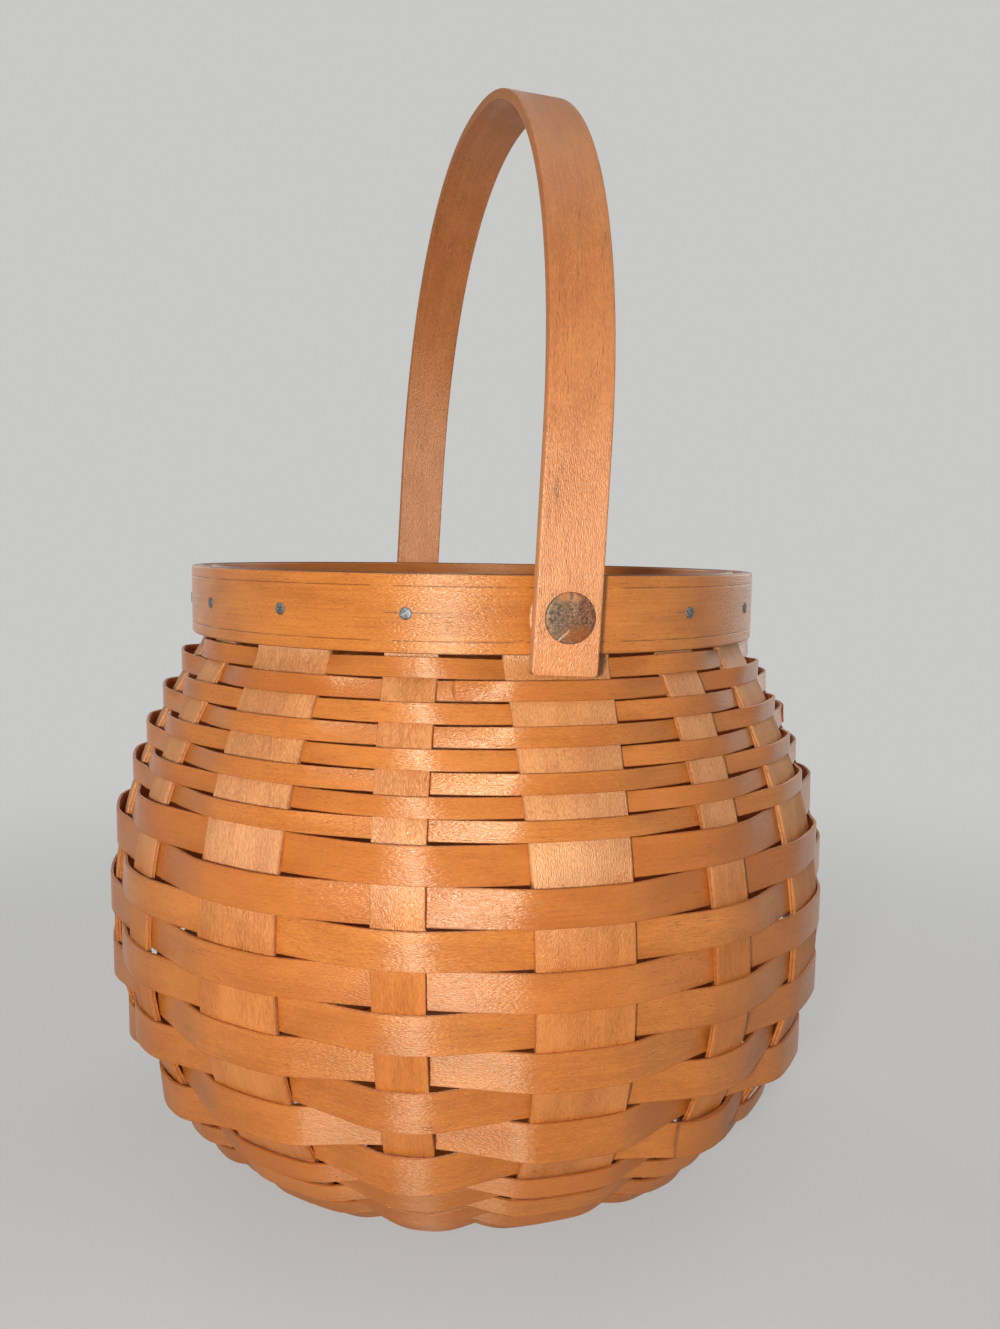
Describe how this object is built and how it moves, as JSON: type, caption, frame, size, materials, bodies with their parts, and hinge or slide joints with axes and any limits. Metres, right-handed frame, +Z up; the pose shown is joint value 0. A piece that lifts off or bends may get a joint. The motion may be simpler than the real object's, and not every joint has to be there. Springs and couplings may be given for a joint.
{
  "type": "splint berry basket",
  "caption": "Round-bellied woven splint basket with a banded, tacked rim and one tall swing handle riveted through the rim.",
  "frame": {"origin": "middle of the footprint, on the surface the basket stands on", "axes": "+Z up; the handle's pivot axis runs along Y and the front rivet faces -Y; the raised handle leans 2.6 degrees towards +X"},
  "size_m": [0.2896, 0.2896, 0.4159],
  "materials": {
    "weaver_wood": "honey-stained hardwood splint, satin lacquer",
    "splint_wood": "honey-stained hardwood splint, satin lacquer",
    "rim_wood": "honey-stained bent hardwood band, satin lacquer",
    "handle_wood": "honey-stained bent hardwood strap, satin lacquer",
    "spacer_wood": "thin wooden washer",
    "copper": "dark patinated copper",
    "tack_steel": "plain steel tack"
  },
  "bodies": {
    "basket": {"back_burr": "copper", "back_rivet": "copper", "back_spacer": "spacer_wood", "front_burr": "copper", "front_rivet": "copper", "front_spacer": "spacer_wood", "narrow_splint_1": "splint_wood", "narrow_splint_2": "splint_wood", "narrow_splint_3": "splint_wood", "narrow_splint_4": "splint_wood", "rim_inner_band": "rim_wood", "rim_outer_band": "rim_wood", "rim_tack_01": "tack_steel", "rim_tack_02": "tack_steel", "rim_tack_03": "tack_steel", "rim_tack_04": "tack_steel", "rim_tack_05": "tack_steel", "rim_tack_06": "tack_steel", "rim_tack_07": "tack_steel", "rim_tack_08": "tack_steel", "rim_tack_09": "tack_steel", "rim_tack_10": "tack_steel", "rim_tack_11": "tack_steel", "rim_tack_12": "tack_steel", "rim_tack_13": "tack_steel", "rim_tack_14": "tack_steel", "weaver_01": "weaver_wood", "weaver_02": "weaver_wood", "weaver_03": "weaver_wood", "weaver_04": "weaver_wood", "weaver_05": "weaver_wood", "weaver_06": "weaver_wood", "weaver_07": "weaver_wood", "weaver_08": "weaver_wood", "weaver_09": "weaver_wood", "weaver_10": "weaver_wood", "weaver_11": "weaver_wood", "weaver_12": "weaver_wood", "weaver_13": "weaver_wood", "weaver_14": "weaver_wood", "weaver_15": "weaver_wood", "weaver_16": "weaver_wood", "weaver_17": "weaver_wood", "weaver_18": "weaver_wood", "weaver_19": "weaver_wood", "weaver_20": "weaver_wood", "weaver_21": "weaver_wood", "weaver_22": "weaver_wood", "weaver_23": "weaver_wood", "weaver_24": "weaver_wood", "weaver_25": "weaver_wood", "weaver_26": "weaver_wood", "weaver_27": "weaver_wood", "wide_splint_1": "splint_wood", "wide_splint_2": "splint_wood", "wide_splint_3": "splint_wood", "wide_splint_4": "splint_wood"},
    "swing_handle": {"handle": "handle_wood"}
  },
  "joints": [
    {"name": "handle_swing", "type": "hinge", "parent": "basket", "child": "swing_handle", "pos_m": [0, 0, 0.22227], "axis": [0, 1, 0], "range_deg": [-110.6, 105.4]}
  ]
}
